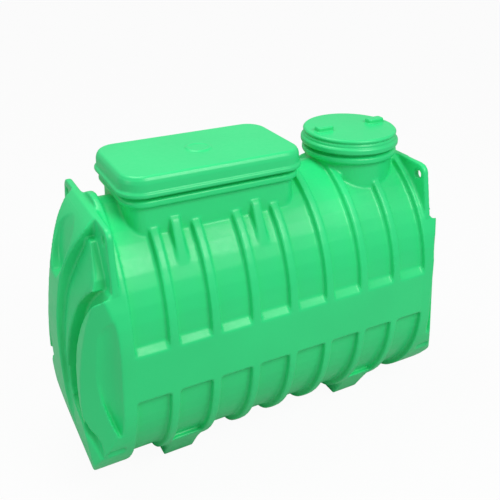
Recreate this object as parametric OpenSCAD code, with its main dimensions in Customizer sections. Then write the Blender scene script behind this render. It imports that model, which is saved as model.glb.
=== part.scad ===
// Horizontal moulded septic tank: ribbed shell, two access necks with
// lift-off lids, bulged ends with lifting plates, and two cross feet.
// X runs along the tank, -Y is the front, Z is up from the floor.

/* [Bays] */
// Distance from one hoop rib to the next
bay_pitch = 200; // [180:1:215]
// Width of a hoop rib at the band
rib_w = 43; // [34:1:52]
// Depth of the bays between the ribs, above and below the band
rib_h = 30; // [20:1:36]

/* [Cross section] */
// Overall depth of the body, front band to back band
body_w = 896; // [870:2:930]
// Height of the bottom edge of the flat band above the floor
band_z = 555; // [535:1:575]
// Height of the flat band
band_h = 225; // [200:1:245]
// Radius of the flank above the band
upper_r = 620; // [600:5:650]
// Radius of the crown
crown_r = 200; // [180:5:220]
// Radius of the flank below the band
lower_r = 600; // [585:5:620]
// Radius where the flank turns into the bottom
keel_r = 250; // [220:5:280]
// Height of the underside of the ribs above the floor
clear_z = 30; // [24:1:40]
// Length of the chamfer where a bay runs out to the band
ramp_h = 48; // [30:1:70]
// Wall thickness of the mouldings
wall_t = 9; // [7:0.5:12]

/* [Ends] */
// Thickness of a lifting plate
plate_t = 32; // [24:1:40]
// How far a lifting plate's top edge lies below the crown
plate_drop = 31; // [10:1:60]
// Half the width of a lifting plate at its top edge
plate_half = 346; // [330:1:360]
// Half the width of a lifting plate at the shoulder
plate_foot = 384; // [370:1:392]
// Height of the shoulder on top of the cheeks
shoulder_z = 1062; // [1045:1:1075]
// Diameter of a lifting hole
hole_d = 44; // [36:1:50]
// Distance from a lifting plate's top edge to a hole's centre
hole_drop = 60; // [52:1:70]
// Distance from the middle of the tank to a hole's centre
hole_y = 294; // [284:1:300]
// How far the end wall bulges out from the lifting plate
bulge = 143; // [120:1:160]
// Radius of the bulge, seen from the side
bulge_r = 1880; // [1700:20:2100]
// Height of the middle of the bulge above the floor
bulge_z = 525; // [500:5:560]
// Height at which an end's chamfered corner meets the plate's face at the tank's widest
corner_z = 650; // [600:10:700]
// Width of a cheek at its widest, from the tank's side to the cheek's inner edge
cheek_w = 225; // [208:1:238]
// Half the width of the bulge between the two grooves, at its narrowest
groove_in = 78; // [60:1:100]
// Angle of the chamfer on an end's corners, seen from above
corner_a = 42; // [38:1:46]
// How far that chamfer leans in towards the top, in degrees
corner_lean = 2; // [0:0.5:3]
// Depth of the grooves between the raised parts of an end
groove_d = 52; // [36:1:60]
// How far the hood under the lifting plate stands out from the bulge
hood_out = 34; // [20:1:44]

/* [Rectangular neck] */
// Length of the rectangular neck
rneck_l = 832; // [810:2:850]
// Width of the rectangular neck
rneck_w = 446; // [430:2:460]
// Corner radius of the rectangular neck
rneck_r = 76; // [60:2:90]
// Distance from the tank's middle to the neck's middle
rneck_x = 282; // [276:1:288]
// Height of the rectangular lid
rlid_h = 94; // [84:1:109]

/* [Round neck] */
// Outside diameter of the round neck
cneck_d = 446; // [420:2:456]
// Gap between the round neck and the lifting plate beside it
cneck_gap = 4.5; // [2:0.5:10]
// Height of the round lid
clid_h = 75; // [64:1:89]

/* [Necks and lids] */
// Height of the top of both flanges above the crown
flange_rise = 24; // [12:1:32]
// How far a neck's flange stands out
flange_out = 24; // [16:1:28]
// Thickness of a neck's flange
flange_t = 34; // [24:1:40]
// Gap between a flange and the lip of its lid
flange_gap = 19; // [10:1:26]
// How far a lid's lip stands out from the neck
lip_out = 31; // [24:1:36]
// How far the round lid's side stands out from the neck
clid_out = 20; // [14:1:22]

/* [Feet] */
// Half the length of a foot across the tank, at the floor
foot_half = 192; // [180:2:204]
// Half the length of a foot across the tank, at its top edge
foot_top_half = 312; // [300:2:320]
// Height of a foot's top edge above the floor
foot_h = 182; // [170:2:194]

/* [Hidden] */
$fn = 96;
bays = 8;
eps = 0.01;
half_w = body_w / 2;
band_top = band_z + band_h;
body_l = bays * bay_pitch + rib_w;
rib_x0 = -body_l / 2;
plate_x = body_l / 2 - 10;
face_x = plate_x + plate_t;
cneck_x = plate_x - cneck_gap - cneck_d / 2;
END_LEN = 240;
TALL = 2000;
ARC_STEPS = 10;
EDGE_STEPS = 7;

// Centres of the four tangent arcs of the right half of the section
up_cx = half_w - upper_r;
crown_cz = band_top + sqrt(pow(upper_r - crown_r, 2) - up_cx * up_cx);
low_cx = half_w - lower_r;
keel_cz = clear_z + keel_r;
keel_cx = low_cx + sqrt(pow(lower_r - keel_r, 2) - pow(band_z - keel_cz, 2));
crown_a = atan2(crown_cz - band_top, -up_cx);
keel_a = atan2(keel_cz - band_z, keel_cx - low_cx);

// Heights that follow the crown
crown_top = crown_cz + crown_r;
plate_top = crown_top - plate_drop;
flange_top = crown_top + flange_rise;
neck_top = flange_top + flange_gap;
rlid_top = neck_top + rlid_h;
clid_top = neck_top + clid_h;

// A height above the shoulder, as a share k of the lifting plate's own height
function rise(k) = shoulder_z + k * (plate_top - shoulder_z);

function arc(cx, cz, r, a0, a1, n = ARC_STEPS) =
    [for (i = [0:n]) let (a = a0 + (a1 - a0) * i / n) [cx + r * cos(a), cz + r * sin(a)]];

// Right half of the section, set in by d from the ribs' outer face
function half_section(d) = concat(
    arc(keel_cx, keel_cz, keel_r - d, -90, keel_a),
    arc(low_cx, band_z, lower_r - d, keel_a, 0),
    arc(up_cx, band_top, upper_r - d, 0, crown_a),
    arc(0, crown_cz, crown_r - d, crown_a, 90));

// Middle of bay k along the tank, counted from 1 at the left
function bay_x(k) = rib_x0 + (k - 1) * bay_pitch + (bay_pitch + rib_w) / 2;

function flip(points) = [for (i = [len(points) - 1:-1:0]) [-points[i][0], points[i][1]]];

function section(d) = concat(half_section(d), flip(half_section(d)));

// A line bowed out to [y, z] from two arcs, one above it and one below
function bow(y, z, r_up, r_low, z_top, z_low) = concat(
    [for (i = [0:EDGE_STEPS]) let (a = asin((z - z_low) / r_low) * (1 - i / EDGE_STEPS))
        [y - r_low * (1 - cos(a)), z - r_low * sin(a)]],
    [for (i = [1:EDGE_STEPS]) let (a = asin((z_top - z) / r_up) * i / EDGE_STEPS)
        [y - r_up * (1 - cos(a)), z + r_up * sin(a)]]);

// Inner edge of the front cheek, seen from the end, and the far side of its groove
CHEEK_LOW = 308;
CHEEK_MID = 730;
CHEEK_UP_R = 404;
CHEEK_LOW_R = 560;
GROOVE_LOW = 264;
GROOVE_MID = 585;
GROOVE_TURN = 430;
GROOVE_UP_R = 620;
GROOVE_LOW_R = 160;
// Run of the groove's far side out to the tank's side: [distance from that side, height]
GROOVE_RUN = [[76, GROOVE_LOW], [113, 341], [167, 412]];
cheek_edge = bow(cheek_w - half_w, CHEEK_MID, CHEEK_UP_R, CHEEK_LOW_R, shoulder_z - 6, CHEEK_LOW);
groove_edge = concat([for (p = GROOVE_RUN) [p[0] - half_w, p[1]]],
    bow(-groove_in, GROOVE_MID, GROOVE_UP_R, GROOVE_LOW_R, shoulder_z + 12, GROOVE_TURN));

// Right halves of the hood's outline, of the gap in the bulge that it fills, and of the arms beside it
hood_edge = [[4, rise(-0.06)], [14, rise(-0.015)], [78, rise(0.44)], [178, rise(0.82)], [182, plate_top]];
gap_edge = [[4, rise(-0.34)], [16, rise(-0.28)], [74, rise(0.17)], [176, rise(0.63)], [182, rise(0.7)]];
arm_edge = [[314, shoulder_z - 4], [306, rise(0.16)], [214, rise(0.66)]];

green = [0.24, 0.75, 0.47];
pale_green = [0.44, 0.86, 0.62];

// A section shape, x0 to x1 along the tank
module along(x0, x1) {
    translate([x0, 0, 0]) rotate([90, 0, 90]) linear_extrude(x1 - x0) children();
}

module hoop(x0, x1, d_out, d_in) {
    along(x0, x1) difference() {
        polygon(section(d_out));
        polygon(section(d_in));
    }
}

module rounded_slab(l, w, r, h) {
    linear_extrude(h) {
        square([l - 2 * r, w], center = true);
        square([l, w - 2 * r], center = true);
        for (x = [-1, 1], y = [-1, 1]) translate([x * (l / 2 - r), y * (w / 2 - r)]) circle(r);
    }
}

// Both sides of an end: the child as drawn for the right end, front half, and its mirror
module both() {
    children();
    mirror([0, 1, 0]) children();
}

module at_end(side) {
    mirror([side > 0 ? 0 : 1, 0, 0]) children();
}

// Space taken by the two necks above the band, grown by g
module neck_space(g) {
    translate([-rneck_x, 0, band_top]) rounded_slab(rneck_l + 2 * g, rneck_w + 2 * g, rneck_r + g, TALL);
    translate([cneck_x, 0, band_top]) cylinder(d = cneck_d + 2 * g, h = TALL);
}

module tank_shell() {
    color(green) difference() {
        hoop(-plate_x, plate_x, rib_h, rib_h + wall_t);
        neck_space(-wall_t);
    }
}

// Flat band with a ramp running in to the bays above it and a ledge below it
module band(side) {
    outer = half_w;
    inner = half_w - rib_h;
    shape = [[inner - 12, band_z], [outer, band_z], [outer, band_top], [inner - 12, band_top + ramp_h]];
    color(green) difference() {
        along(-plate_x + rib_w, plate_x - rib_w)
            polygon(side > 0 ? shape : flip(shape));
        along(-plate_x, plate_x) polygon(section(rib_h));
        for (k = [1:bays - 1]) translate([rib_x0 + k * bay_pitch, -half_w - 1, 0])
            cube([rib_w, body_w + 2, TALL]);
    }
}

module hoop_rib(k) {
    color(green) difference() {
        hoop(rib_x0 + k * bay_pitch, rib_x0 + k * bay_pitch + rib_w, 0, rib_h);
        neck_space(0);
    }
}

module end_hoop(side) {
    x1 = plate_x;
    x0 = body_l / 2 - rib_w;
    color(green) difference() {
        at_end(side) hoop(x0, x1, 0, rib_h);
        neck_space(0);
    }
}

// Half of a lifting plate's outline, seen from the end
module plate_outline() {
    corner_r = 50;
    polygon([[-plate_foot, shoulder_z], [plate_foot, shoulder_z],
        [plate_half, plate_top - corner_r], [plate_half - corner_r, plate_top],
        [corner_r - plate_half, plate_top], [-plate_half, plate_top - corner_r]]);
    for (y = [-1, 1]) translate([y * (plate_half - corner_r), plate_top - corner_r]) circle(corner_r);
}

module lifting_plate(side) {
    color(green) at_end(side) difference() {
        along(plate_x, face_x) plate_outline();
        for (y = [-1, 1]) translate([plate_x - 1, y * hole_y, plate_top - hole_drop])
            rotate([0, 90, 0]) cylinder(d = hole_d, h = plate_t + 2);
    }
}

// Everything inside the bulging face of an end, set in by d
module behind_face(d) {
    translate([face_x + bulge - d - bulge_r, 0, bulge_z]) rotate([90, 0, 0])
        cylinder(r = bulge_r, h = body_w + 20, center = true);
}

// Everything inside the chamfer of an end's front corner
module inside_corner() {
    translate([face_x, -half_w, corner_z]) rotate([0, -corner_lean, -corner_a])
        translate([-2 * TALL, -TALL, -TALL]) cube(2 * TALL);
}

// The whole section of an end, up to the shoulder
module end_section() {
    intersection() {
        polygon(section(0));
        translate([-half_w, 0]) square([body_w, shoulder_z]);
    }
}

// Front cheek, seen from the end
module cheek_zone() {
    polygon(concat(cheek_edge, [[-half_w - 20, shoulder_z - 6], [-half_w - 20, CHEEK_LOW]]));
}

// Front cheek and the groove round it
module groove_zone() {
    polygon(concat(groove_edge, [[-half_w - 20, shoulder_z + 12], [-half_w - 20, GROOVE_LOW]]));
}

// Gap in the bulge that the hood fills
module hood_gap() {
    polygon(concat(flip(gap_edge), gap_edge));
}

// Arms that carry the bulge up onto the lifting plate, either side of the hood
module arms_zone() {
    difference() {
        polygon(concat(flip(arm_edge), arm_edge));
        hood_gap();
    }
}

// The bulge and the strip under both grooves
module low_zone() {
    difference() {
        end_section();
        both_zones() groove_zone();
        hood_gap();
    }
}

module both_zones() {
    children();
    mirror([1, 0]) children();
}

// Hollow in the outer side of the front cheek: a lens from the side, its floor an arc from above
module scoop() {
    scoop_r = 123;
    scoop_in = 7;
    scoop_top = shoulder_z - 86;
    scoop_low = CHEEK_LOW + 87;
    rim_x = 86;
    rim_z = 770;
    rim_up_r = 290;
    rim_low_r = 1029;
    edge = bow(rim_x, rim_z, rim_up_r, rim_low_r, scoop_top, scoop_low);
    intersection() {
        translate([face_x, 0, 0]) rotate([90, 0, 0]) linear_extrude(half_w + 20)
            polygon(concat(edge, [[-plate_t, scoop_top], [-plate_t, scoop_low]]));
        translate([face_x + scoop_r - scoop_in, -half_w - 26, 0]) cylinder(r = scoop_r, h = TALL);
    }
}

module end_dome(side) {
    room_inset = 116;
    roof_t = 24;
    slot_in = 17;
    color(green) at_end(side) difference() {
        union() {
            along(plate_x, face_x) end_section();
            intersection() {
                inside_corner();
                mirror([0, 1, 0]) inside_corner();
                union() {
                    intersection() {
                        along(face_x - eps, face_x + END_LEN) end_section();
                        behind_face(groove_d);
                    }
                    intersection() {
                        along(face_x - eps, face_x + END_LEN) low_zone();
                        behind_face(0);
                    }
                }
            }
        }
        // Room inside
        intersection() {
            along(plate_x - 1, face_x + END_LEN) intersection() {
                polygon(section(room_inset));
                translate([-half_w, 0]) square([body_w, shoulder_z - roof_t]);
            }
            behind_face(groove_d + wall_t);
        }
        both() {
            scoop();
            // Slot under the cheek
            translate([face_x - slot_in, -half_w, GROOVE_LOW])
                cube([60 + slot_in, GROOVE_RUN[0][0], CHEEK_LOW - GROOVE_LOW]);
        }
    }
}

module end_cheeks(side) {
    color(green) at_end(side) both() difference() {
        intersection() {
            along(face_x, face_x + END_LEN) intersection() {
                polygon(section(0));
                cheek_zone();
            }
            behind_face(0);
            inside_corner();
        }
        behind_face(groove_d);
        scoop();
    }
}

// Hood under the top edge of the lifting plate, with the arms beside it
module end_hood(side) {
    arm_t = 36;
    lip_x = 38;
    low = shoulder_z - 60;
    low_x = face_x + hood_out + bulge + sqrt(pow(bulge_r, 2) - pow(rise(-0.06) - bulge_z, 2)) - bulge_r;
    color(green) at_end(side) difference() {
        union() {
            intersection() {
                along(face_x, face_x + END_LEN) polygon(concat(flip(hood_edge), hood_edge));
                rotate([90, 0, 0]) linear_extrude(body_w, center = true) polygon([
                    [plate_x, plate_top], [face_x, plate_top - 2], [face_x + lip_x, plate_top - 42],
                    [low_x, rise(-0.06)], [low_x, low], [plate_x, low]]);
            }
            intersection() {
                along(face_x, face_x + END_LEN) arms_zone();
                union() {
                    behind_face(0);
                    translate([face_x, -half_w, low]) cube([arm_t, body_w, plate_top - low]);
                }
            }
        }
        end_dome(1);
    }
}

// Cross foot that fills one bay, its ends sloping in towards the floor
module foot(x) {
    foot_w = bay_pitch - rib_w;
    color(green) difference() {
        along(x - foot_w / 2, x + foot_w / 2) polygon([[-foot_half, 0], [foot_half, 0],
            [foot_top_half, foot_h], [-foot_top_half, foot_h]]);
        along(x - foot_w, x + foot_w) polygon(section(rib_h));
    }
}

// A moulding with rounded corners, profile given as [out, z] from the slab's edge
module moulded(l, w, r, profile) {
    top = profile[len(profile) - 1][1];
    low = profile[0][1];
    rotate([90, 0, 90]) linear_extrude(l - 2 * r, center = true)
        polygon(concat([for (p = profile) [w / 2 + p[0], p[1]]],
            [for (i = [len(profile) - 1:-1:0]) [-w / 2 - profile[i][0], profile[i][1]]]));
    rotate([90, 0, 0]) linear_extrude(w - 2 * r, center = true)
        polygon(concat([for (p = profile) [l / 2 + p[0], p[1]]],
            [for (i = [len(profile) - 1:-1:0]) [-l / 2 - profile[i][0], profile[i][1]]]));
    for (x = [-1, 1], y = [-1, 1]) translate([x * (l / 2 - r), y * (w / 2 - r), 0])
        rotate_extrude() polygon(concat([[0, low]], [for (p = profile) [r + p[0], p[1]]], [[0, top]]));
}

module rect_neck() {
    color(green) difference() {
        translate([-rneck_x, 0, band_top]) rounded_slab(rneck_l, rneck_w, rneck_r, neck_top - band_top);
        translate([-rneck_x, 0, band_top - 1])
            rounded_slab(rneck_l - 2 * wall_t, rneck_w - 2 * wall_t, rneck_r - wall_t, TALL);
        along(-plate_x - 1, plate_x + 1) polygon(section(rib_h));
    }
}

module rect_neck_flange() {
    color(green) translate([-rneck_x, 0, flange_top]) difference() {
        moulded(rneck_l, rneck_w, rneck_r, [[flange_out - 6, -flange_t], [flange_out, 6 - flange_t],
            [flange_out, -8], [flange_out - 8, 0]]);
        translate([0, 0, -flange_t - 1]) rounded_slab(rneck_l, rneck_w, rneck_r, flange_t + 2);
    }
}

module rect_lid() {
    h = rlid_h;
    color(pale_green) translate([-rneck_x, 0, neck_top]) difference() {
        moulded(rneck_l, rneck_w, rneck_r, [[lip_out, 0], [lip_out, h - 34],
            [lip_out - 4, h - 18], [lip_out - 12, h - 5], [lip_out - 21, h]]);
        translate([0, 0, -1])
            rounded_slab(rneck_l - 2 * wall_t, rneck_w - 2 * wall_t, rneck_r - wall_t, h - wall_t + 1);
    }
}

module rect_lid_lip() {
    lip_h = 26;
    bead = 10;
    color(pale_green) translate([-rneck_x, 0, neck_top]) difference() {
        moulded(rneck_l, rneck_w, rneck_r, [[lip_out + 6, 0], [lip_out + bead, 6],
            [lip_out + bead, lip_h - 8], [lip_out, lip_h]]);
        translate([0, 0, -1])
            rounded_slab(rneck_l + 2 * lip_out, rneck_w + 2 * lip_out, rneck_r + lip_out, lip_h + 2);
    }
}

module rect_lid_boss() {
    color(pale_green) translate([-rneck_x, 0, rlid_top]) difference() {
        cylinder(d1 = 132, d2 = 120, h = 6);
        translate([0, 0, 3]) cylinder(d = 92, h = 4);
    }
}

module neck_buttress(side) {
    buttress_w = 44;
    inner = rneck_w / 2;
    outer = inner + flange_out - 4;
    top = flange_top - flange_t - 14;
    shape = [[inner, band_top], [outer, band_top], [outer, top - 60], [inner, top]];
    color(green) for (k = [2, 4]) difference() {
        along(bay_x(k) - buttress_w / 2, bay_x(k) + buttress_w / 2) polygon(side > 0 ? shape : flip(shape));
        along(-plate_x, plate_x) polygon(section(rib_h));
    }
}

module round_neck() {
    color(green) difference() {
        translate([cneck_x, 0, band_top]) cylinder(d = cneck_d, h = neck_top - band_top);
        translate([cneck_x, 0, band_top - 1]) cylinder(d = cneck_d - 2 * wall_t, h = TALL);
        along(-plate_x - 1, plate_x + 1) polygon(section(rib_h));
    }
}

module round_neck_flange() {
    color(green) translate([cneck_x, 0, flange_top]) rotate_extrude() polygon([
        [cneck_d / 2, -flange_t], [cneck_d / 2 + flange_out - 6, -flange_t],
        [cneck_d / 2 + flange_out, 6 - flange_t], [cneck_d / 2 + flange_out, -8],
        [cneck_d / 2 + flange_out - 8, 0], [cneck_d / 2, 0]]);
}

// Round lid with a shallow groove round its side
module round_lid() {
    h = clid_h;
    r = cneck_d / 2 + clid_out;
    groove_z = h - 23;
    groove_half = 7;
    floor_half = 3;
    inset = 6;
    edge_c = 8;
    color(pale_green) translate([cneck_x, 0, neck_top]) difference() {
        rotate_extrude() polygon([[0, 0], [r, 0], [r, groove_z - groove_half],
            [r - inset, groove_z - floor_half], [r - inset, groove_z + floor_half],
            [r, groove_z + groove_half], [r, h - edge_c], [r - edge_c, h], [0, h]]);
        translate([0, 0, -1]) cylinder(d = cneck_d - 2 * wall_t, h = h - wall_t + 1);
    }
}

module round_lid_rim() {
    r = cneck_d / 2;
    rim_h = 32;
    color(pale_green) translate([cneck_x, 0, neck_top]) rotate_extrude() polygon([
        [r + clid_out, 0], [r + lip_out - 4, 0], [r + lip_out, 5], [r + lip_out, rim_h - 8],
        [r + clid_out + 4, rim_h], [r + clid_out, rim_h]]);
}

module lid_handle(side) {
    handle_l = 96;
    handle_w = 52;
    handle_h = 24;
    handle_x = cneck_d / 2 - 63;
    color(pale_green) translate([cneck_x + side * handle_x, 0, clid_top])
        moulded(handle_l, handle_w, 14, [[0, 0], [0, handle_h - 6], [-4, handle_h]]);
}

tank_shell();
band(-1);  // front_band
band(1);  // back_band
hoop_rib(1);  // hoop_rib_1
hoop_rib(2);  // hoop_rib_2
hoop_rib(3);  // hoop_rib_3
hoop_rib(4);  // hoop_rib_4
hoop_rib(5);  // hoop_rib_5
hoop_rib(6);  // hoop_rib_6
hoop_rib(7);  // hoop_rib_7
end_hoop(-1);  // end_hoop_left
end_hoop(1);  // end_hoop_right
lifting_plate(-1);  // lifting_plate_left
lifting_plate(1);  // lifting_plate_right
end_dome(-1);  // end_dome_left
end_dome(1);  // end_dome_right
end_cheeks(-1);  // end_cheeks_left
end_cheeks(1);  // end_cheeks_right
end_hood(-1);  // end_hood_left
end_hood(1);  // end_hood_right
foot(bay_x(2));  // foot_left
foot(bay_x(7));  // foot_right
rect_neck();
rect_neck_flange();
rect_lid();
rect_lid_lip();
rect_lid_boss();
neck_buttress(-1);  // neck_buttress_front
neck_buttress(1);  // neck_buttress_back
round_neck();
round_neck_flange();
round_lid();
round_lid_rim();
lid_handle(-1);  // lid_handle_left
lid_handle(1);  // lid_handle_right
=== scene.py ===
import math
import bmesh
import bpy
from mathutils import Matrix, Vector


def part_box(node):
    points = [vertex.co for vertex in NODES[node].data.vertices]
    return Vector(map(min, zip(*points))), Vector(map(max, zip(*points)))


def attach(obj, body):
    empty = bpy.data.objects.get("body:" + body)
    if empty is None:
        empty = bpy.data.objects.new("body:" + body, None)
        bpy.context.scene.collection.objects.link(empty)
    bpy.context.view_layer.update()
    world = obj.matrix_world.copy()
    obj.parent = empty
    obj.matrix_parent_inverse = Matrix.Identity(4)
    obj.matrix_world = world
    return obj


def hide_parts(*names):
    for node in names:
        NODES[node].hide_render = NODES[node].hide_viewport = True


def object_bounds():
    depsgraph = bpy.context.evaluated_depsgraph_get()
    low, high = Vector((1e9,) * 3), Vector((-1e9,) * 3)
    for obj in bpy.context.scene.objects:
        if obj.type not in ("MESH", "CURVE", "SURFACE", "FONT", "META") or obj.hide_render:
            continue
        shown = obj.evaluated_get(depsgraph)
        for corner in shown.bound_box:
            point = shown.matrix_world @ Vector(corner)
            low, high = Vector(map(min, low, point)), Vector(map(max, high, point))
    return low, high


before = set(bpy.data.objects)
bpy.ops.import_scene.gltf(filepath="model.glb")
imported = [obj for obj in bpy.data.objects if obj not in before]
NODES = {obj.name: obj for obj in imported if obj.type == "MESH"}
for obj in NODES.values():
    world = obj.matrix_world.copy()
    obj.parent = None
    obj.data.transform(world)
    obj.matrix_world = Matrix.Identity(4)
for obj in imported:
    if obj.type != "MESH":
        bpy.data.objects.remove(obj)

cad_low, cad_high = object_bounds()
scene = bpy.context.scene


# ---------------------------------------------------------------- finishes
def srgb(r, g, b):
    """A colour given from 0 to 255 as it looks, in the scene's own light values."""
    def line(c):
        c = c / 255.0
        return c / 12.92 if c <= 0.04045 else ((c + 0.055) / 1.055) ** 2.4
    return (line(r), line(g), line(b), 1.0)


def moulded_grain_group():
    """Faint unevenness of rotomoulded polyethylene: a colour, a roughness and a normal."""
    group = bpy.data.node_groups.new("moulded_grain", "ShaderNodeTree")
    ports = group.interface
    colour = ports.new_socket("Colour", in_out="INPUT", socket_type="NodeSocketColor")
    ports.new_socket("Mottle", in_out="INPUT", socket_type="NodeSocketFloat")
    ports.new_socket("Roughness", in_out="INPUT", socket_type="NodeSocketFloat")
    ports.new_socket("Ripple", in_out="INPUT", socket_type="NodeSocketFloat")
    ports.new_socket("Colour", in_out="OUTPUT", socket_type="NodeSocketColor")
    ports.new_socket("Roughness", in_out="OUTPUT", socket_type="NodeSocketFloat")
    ports.new_socket("Normal", in_out="OUTPUT", socket_type="NodeSocketVector")
    colour.default_value = (0.5, 0.5, 0.5, 1.0)
    make, link = group.nodes.new, group.links.new
    inside = make("NodeGroupInput")
    outside = make("NodeGroupOutput")
    place = make("ShaderNodeTexCoord")

    def unevenness(scale, detail):
        noise = make("ShaderNodeTexNoise")
        noise.inputs["Scale"].default_value = scale
        noise.inputs["Detail"].default_value = detail
        link(place.outputs["Object"], noise.inputs["Vector"])
        return noise.outputs["Fac"]

    def spread(value, reach):
        """The middle of an unevenness, spread out to this far either side of nothing."""
        wide = make("ShaderNodeMapRange")
        wide.inputs["From Min"].default_value = 0.3
        wide.inputs["From Max"].default_value = 0.7
        wide.inputs["To Min"].default_value = -reach
        wide.inputs["To Max"].default_value = reach
        link(value, wide.inputs["Value"])
        return wide.outputs["Result"]

    cloudy = unevenness(2.6, 2.0)
    amount = make("ShaderNodeMath")
    amount.operation = "MULTIPLY_ADD"
    amount.inputs[2].default_value = 1.0
    link(spread(cloudy, 1.0), amount.inputs[0])
    link(inside.outputs["Mottle"], amount.inputs[1])
    tint = make("ShaderNodeVectorMath")
    tint.operation = "SCALE"
    link(inside.outputs["Colour"], tint.inputs[0])
    link(amount.outputs[0], tint.inputs["Scale"])
    link(tint.outputs["Vector"], outside.inputs["Colour"])
    fine = unevenness(38.0, 3.0)
    total = make("ShaderNodeMath")
    total.operation = "ADD"
    link(spread(fine, 0.03), total.inputs[0])
    link(inside.outputs["Roughness"], total.inputs[1])
    link(total.outputs[0], outside.inputs["Roughness"])
    bump = make("ShaderNodeBump")
    bump.inputs["Distance"].default_value = 0.0008
    link(inside.outputs["Ripple"], bump.inputs["Strength"])
    link(fine, bump.inputs["Height"])
    link(bump.outputs["Normal"], outside.inputs["Normal"])
    return group


GRAIN = moulded_grain_group()


def polyethylene(name, colour, roughness, mottle, ripple):
    """Moulded green polyethylene."""
    mat = bpy.data.materials.new(name)
    mat.use_nodes = True
    tree = mat.node_tree
    shader = tree.nodes["Principled BSDF"]
    shader.inputs["IOR"].default_value = 1.5
    shader.inputs["Specular IOR Level"].default_value = 0.4
    grain = tree.nodes.new("ShaderNodeGroup")
    grain.node_tree = GRAIN
    grain.inputs["Colour"].default_value = colour
    grain.inputs["Mottle"].default_value = mottle
    grain.inputs["Roughness"].default_value = roughness
    grain.inputs["Ripple"].default_value = ripple
    tree.links.new(grain.outputs["Colour"], shader.inputs["Base Color"])
    tree.links.new(grain.outputs["Roughness"], shader.inputs["Roughness"])
    tree.links.new(grain.outputs["Normal"], shader.inputs["Normal"])
    return mat


TANK_GREEN = polyethylene("tank_green_polyethylene", srgb(41, 217, 128), 0.36, 0.03, 0.1)
LID_GREEN = polyethylene("lid_green_polyethylene", srgb(46, 214, 128), 0.36, 0.03, 0.1)


# ---------------------------------------------------------------- the moulding
def welded(node_names, forms):
    """A mesh of these nodes, with each node's loose triangles joined up, and of these forms."""
    together = bmesh.new()
    for name in node_names:
        single = bmesh.new()
        single.from_mesh(NODES[name].data)
        bmesh.ops.remove_doubles(single, verts=single.verts, dist=0.00002)
        part = bpy.data.meshes.new(name + "_welded")
        single.to_mesh(part)
        single.free()
        together.from_mesh(part)
        bpy.data.meshes.remove(part)
    for form in forms:
        together.from_mesh(form)
        bpy.data.meshes.remove(form)
    mesh = bpy.data.meshes.new("welded_nodes")
    together.to_mesh(mesh)
    together.free()
    return mesh


def soft_moulding(name, node_names, material, grain_size, passes, faces, forms=(), reshaped=()):
    """One skin over these nodes, with the rounded edges of a rotomoulding.

    The forms are moulded in with it, and take the place of the nodes that are reshaped.
    """
    mesh = welded([n for n in node_names if n not in reshaped], forms)
    rough = bpy.data.objects.new(name + "_rough", mesh)
    scene.collection.objects.link(rough)
    skin = rough.modifiers.new("skin", "REMESH")
    skin.mode = "VOXEL"
    skin.voxel_size = grain_size
    soften = rough.modifiers.new("soften", "SMOOTH")
    soften.factor = 0.5
    soften.iterations = passes
    depsgraph = bpy.context.evaluated_depsgraph_get()
    full = len(rough.evaluated_get(depsgraph).data.polygons) * 2
    thin = rough.modifiers.new("thin", "DECIMATE")
    thin.ratio = min(1.0, faces / full)
    depsgraph = bpy.context.evaluated_depsgraph_get()
    done = bpy.data.meshes.new_from_object(rough.evaluated_get(depsgraph))
    bpy.data.objects.remove(rough)
    bpy.data.meshes.remove(mesh)
    done.name = name
    done.materials.clear()
    done.materials.append(material)
    done.polygons.foreach_set("use_smooth", [True] * len(done.polygons))
    piece = bpy.data.objects.new(name, done)
    scene.collection.objects.link(piece)
    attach(piece, "root")
    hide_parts(*node_names)


# ---------------------------------------------------------------- forms on the ends
PLATE_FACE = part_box("lifting_plate_right")[1][0]
PLATE_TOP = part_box("lifting_plate_right")[1][2]
# How far behind the plate's face the forms are rooted, in metres
ROOT = 0.02

# Each row starts with a depth below the plate's top, and these tables are in millimetres.
# Spine: how far it stands out of the plate's face, and half its width.
# Recess in the spine: half its width, and how far it is sunk.
# Strip: its inner edge from the middle and how far that stands out, then its outer edge.
SPINE = [(0, 2, 182), (41, 40, 182), (111, 85, 156), (191, 119, 121), (281, 144, 95), (381, 160, 87),
         (481, 170, 81), (591, 174, 82), (731, 171, 90), (881, 161, 95), (981, 149, 94), (1081, 126, 85),
         (1131, 108, 78)]
RECESS = [(46, 18, 0), (91, 80, 10), (141, 104, 20), (221, 96, 32), (271, 76, 38), (313, 40, 38)]
RECESS_RAMP = 16.0
STRIP = [(91, 150, 33, 214, 33), (151, 137, 52, 255, 40), (191, 120, 67, 273, 46),
         (231, 106, 80, 282, 57), (281, 94, 98, 268, 73), (331, 92, 116, 234, 90),
         (381, 87, 128, 200, 104), (431, 83, 136, 177, 115), (481, 81, 142, 162, 127),
         (531, 80, 147, 150, 136), (631, 84, 152, 128, 146), (731, 91, 151, 114, 148),
         (831, 95, 147, 124, 145), (861, 95, 145, 150, 143)]
# Seam along the strip's inner edge, in millimetres
SEAM_DEEP = 16.0
SEAM_W = 24.0


def station(table, depth):
    """What a form measures at this depth below the plate's top, on a smooth curve through its table."""
    depth = min(max(depth, table[0][0]), table[-1][0])
    k = 0
    while k < len(table) - 2 and table[k + 1][0] < depth:
        k += 1
    before, low = table[max(k - 1, 0)], table[k]
    high, after = table[k + 1], table[min(k + 2, len(table) - 1)]
    run = high[0] - low[0]
    t = (depth - low[0]) / run
    found = []
    for i in range(1, len(low)):
        into = (high[i] - before[i]) / (high[0] - before[0]) * run
        out_of = (after[i] - low[i]) / (after[0] - low[0]) * run
        found.append((2 * t ** 3 - 3 * t ** 2 + 1) * low[i] + (t ** 3 - 2 * t ** 2 + t) * into
                     + (3 * t ** 2 - 2 * t ** 3) * high[i] + (t ** 3 - t ** 2) * out_of)
    return found


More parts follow.
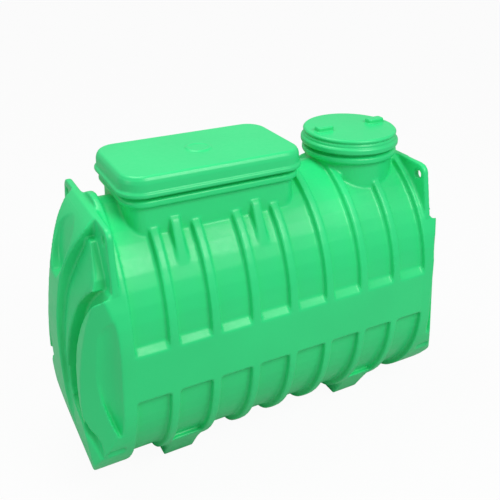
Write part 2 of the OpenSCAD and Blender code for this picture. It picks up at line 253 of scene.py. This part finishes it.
def end_form(name, side, table, columns, rows, face):
    """A solid on one end: a sheet laid over face(across, depth), then run back into the tank."""
    bm = bmesh.new()
    bmesh.ops.create_grid(bm, x_segments=columns, y_segments=rows, size=0.5)
    first, last = table[0][0], table[-1][0]
    for v in bm.verts:
        depth = first + (0.5 - v.co.y) * (last - first)
        out, y = face(2.0 * v.co.x, depth)
        v.co = (side * (PLATE_FACE + out / 1000.0), y / 1000.0, PLATE_TOP - depth / 1000.0)
    back = bmesh.ops.extrude_face_region(bm, geom=bm.faces[:])["geom"]
    for v in back:
        if isinstance(v, bmesh.types.BMVert):
            v.co.x = side * (PLATE_FACE - ROOT)
    bmesh.ops.recalc_face_normals(bm, faces=bm.faces)
    mesh = bpy.data.meshes.new(name)
    bm.to_mesh(mesh)
    bm.free()
    return mesh


def spine_face(across, depth):
    """The spine down the middle of an end, with the shallow recess near its top."""
    out, half = station(SPINE, depth)
    y = across * half
    if RECESS[0][0] < depth < RECESS[-1][0]:
        width, sunk = station(RECESS, depth)
        share = min(max((width - abs(y)) / RECESS_RAMP, 0.0), 1.0)
        out -= sunk * share * share * (3.0 - 2.0 * share)
    return out, y


def strip_face(across, depth):
    """The raised strips beside the spine: level under it, then a seam and a slope to the grooves."""
    inner, inner_out, outer, outer_out = station(STRIP, depth)
    t = max(abs(across) * 2.0 - 1.0, 0.0)
    y = inner * min(abs(across) * 2.0, 1.0) + (outer - inner) * t
    seam = SEAM_DEEP * max(1.0 - max(y - inner, 0.0) / SEAM_W, 0.0)
    return inner_out + (outer_out - inner_out) * t - seam, math.copysign(y, across)


END_FORMS = [form for side in (-1, 1) for form in (
    end_form("end_spine", side, SPINE, 40, 140, spine_face),
    end_form("end_strips", side, STRIP, 48, 80, strip_face))]


# ---------------------------------------------------------------- gussets at the rectangular neck
NECK_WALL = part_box("rect_neck")[1][1]
FIN_W = 0.046
FIN_BAYS = [("hoop_rib_1", "hoop_rib_2"), ("hoop_rib_3", "hoop_rib_4")]
FIN_AT = [0.5 * (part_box(a)[0][0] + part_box(b)[1][0]) for a, b in FIN_BAYS]
# The gusset's outline seen from the tank's end: distance out of the neck's wall, and height, in metres
FIN_EDGE = [(-0.03, 1.285), (0.008, 1.285), (0.02, 1.272), (0.102, 1.1), (0.085, 1.04), (-0.03, 1.16)]


def neck_fin(middle, side):
    """A thin gusset from the rectangular neck's wall down over the bay below it."""
    bm = bmesh.new()
    ring = [bm.verts.new((middle - 0.5 * FIN_W, side * (NECK_WALL + out), z)) for out, z in FIN_EDGE]
    face = bm.faces.new(ring)
    across = bmesh.ops.extrude_face_region(bm, geom=[face])["geom"]
    bmesh.ops.translate(bm, verts=[v for v in across if isinstance(v, bmesh.types.BMVert)],
                        vec=(FIN_W, 0.0, 0.0))
    bmesh.ops.recalc_face_normals(bm, faces=bm.faces)
    mesh = bpy.data.meshes.new("neck_fin")
    bm.to_mesh(mesh)
    bm.free()
    return mesh


NECK_FINS = [neck_fin(middle, side) for middle in FIN_AT for side in (-1, 1)]


# ---------------------------------------------------------------- the three mouldings
BUTTRESSES = ["neck_buttress_front", "neck_buttress_back"]
RECT_LID = ["rect_lid", "rect_lid_lip", "rect_lid_boss"]
ROUND_LID = ["round_lid", "round_lid_rim", "lid_handle_left", "lid_handle_right"]
BODY = [name for name in NODES if name not in RECT_LID + ROUND_LID]

soft_moulding("tank_body_moulding", BODY, TANK_GREEN,
              grain_size=0.006, passes=8, faces=190000,
              forms=END_FORMS + NECK_FINS, reshaped=BUTTRESSES)
soft_moulding("rectangular_lid_moulding", RECT_LID, LID_GREEN,
              grain_size=0.003, passes=6, faces=60000)
soft_moulding("round_lid_moulding", ROUND_LID, LID_GREEN,
              grain_size=0.0025, passes=6, faces=60000)


# ---------------------------------------------------------------- stage and light
def floor_plane():
    """A pale floor that keeps the tank's shadow."""
    bm = bmesh.new()
    bmesh.ops.create_grid(bm, x_segments=1, y_segments=1, size=30.0)
    bmesh.ops.translate(bm, verts=bm.verts, vec=(0.0, 0.0, cad_low[2] - 0.0005))
    mesh = bpy.data.meshes.new("studio_floor")
    bm.to_mesh(mesh)
    bm.free()
    floor = bpy.data.objects.new("studio_floor", mesh)
    scene.collection.objects.link(floor)
    mat = bpy.data.materials.new("pale_floor")
    mat.use_nodes = True
    tree = mat.node_tree
    shader = tree.nodes["Principled BSDF"]
    shader.inputs["Base Color"].default_value = (0.6, 0.6, 0.6, 1.0)
    shader.inputs["Roughness"].default_value = 0.9
    shader.inputs["Specular IOR Level"].default_value = 0.1
    glow = tree.nodes.new("ShaderNodeEmission")
    glow.inputs["Color"].default_value = (1.0, 1.0, 1.0, 1.0)
    glow.inputs["Strength"].default_value = 1.0
    paths = tree.nodes.new("ShaderNodeLightPath")
    share = tree.nodes.new("ShaderNodeMath")
    share.operation = "MULTIPLY"
    share.inputs[1].default_value = 0.95
    tree.links.new(paths.outputs["Is Camera Ray"], share.inputs[0])
    mix = tree.nodes.new("ShaderNodeMixShader")
    tree.links.new(share.outputs[0], mix.inputs["Fac"])
    tree.links.new(shader.outputs["BSDF"], mix.inputs[1])
    tree.links.new(glow.outputs["Emission"], mix.inputs[2])
    tree.links.new(mix.outputs["Shader"], tree.nodes["Material Output"].inputs["Surface"])
    mesh.materials.append(mat)


floor_plane()


def area_light(name, place, target, size, power):
    """A round softbox at a place, turned to face its target."""
    lamp = bpy.data.lights.new(name, "AREA")
    lamp.shape = "DISK"
    lamp.size = size
    lamp.energy = power
    holder = bpy.data.objects.new(name, lamp)
    holder.location = place
    aim = Vector(target) - Vector(place)
    holder.rotation_euler = aim.to_track_quat("-Z", "Y").to_euler()
    scene.collection.objects.link(holder)


area_light("key_softbox", (1.4, -4.3, 5.4), (0.0, 0.0, 0.7), 3.0, 212.0)
area_light("top_softbox", (-1.0, 1.0, 5.5), (0.0, 0.0, 0.8), 2.6, 98.0)
area_light("side_softbox", (-5.5, -1.0, 2.6), (-0.5, 0.0, 0.7), 2.0, 36.0)


def studio_world():
    """Even grey light, brighter where it is mirrored and white where it is seen."""
    world = bpy.data.worlds.new("studio")
    world.use_nodes = True
    tree = world.node_tree
    paths = tree.nodes.new("ShaderNodeLightPath")

    def backdrop(strength):
        back = tree.nodes.new("ShaderNodeBackground")
        back.inputs["Color"].default_value = (1.0, 1.0, 1.0, 1.0)
        back.inputs["Strength"].default_value = strength
        return back.outputs["Background"]

    def swap(below, above, ray):
        mix = tree.nodes.new("ShaderNodeMixShader")
        tree.links.new(paths.outputs[ray], mix.inputs["Fac"])
        tree.links.new(below, mix.inputs[1])
        tree.links.new(above, mix.inputs[2])
        return mix.outputs["Shader"]

    lit = swap(backdrop(0.44), backdrop(0.5), "Is Glossy Ray")
    white = backdrop(1.0)
    seen = swap(swap(lit, white, "Is Transmission Ray"), white, "Is Camera Ray")
    tree.links.new(seen, tree.nodes["World Output"].inputs["Surface"])
    scene.world = world


studio_world()


# ---------------------------------------------------------------- camera
def camera():
    """A standard lens on the tank's front and its left-hand end, from a little above."""
    turn = math.radians(-28.07)
    tilt = math.radians(90.0 - 17.94)
    roll = math.radians(0.403)
    lens = bpy.data.cameras.new("camera")
    lens.sensor_width = 36.0
    lens.lens = 51.19
    lens.shift_y = -0.24
    lens.clip_end = 60.0
    holder = bpy.data.objects.new("camera", lens)
    place = Matrix.Translation((-1.5517, -2.8956, 2.608))
    holder.matrix_world = (place @ Matrix.Rotation(turn, 4, "Z") @ Matrix.Rotation(tilt, 4, "X")
                           @ Matrix.Rotation(roll, 4, "Z"))
    scene.collection.objects.link(holder)
    scene.camera = holder


camera()
scene.view_settings.view_transform = "Standard"
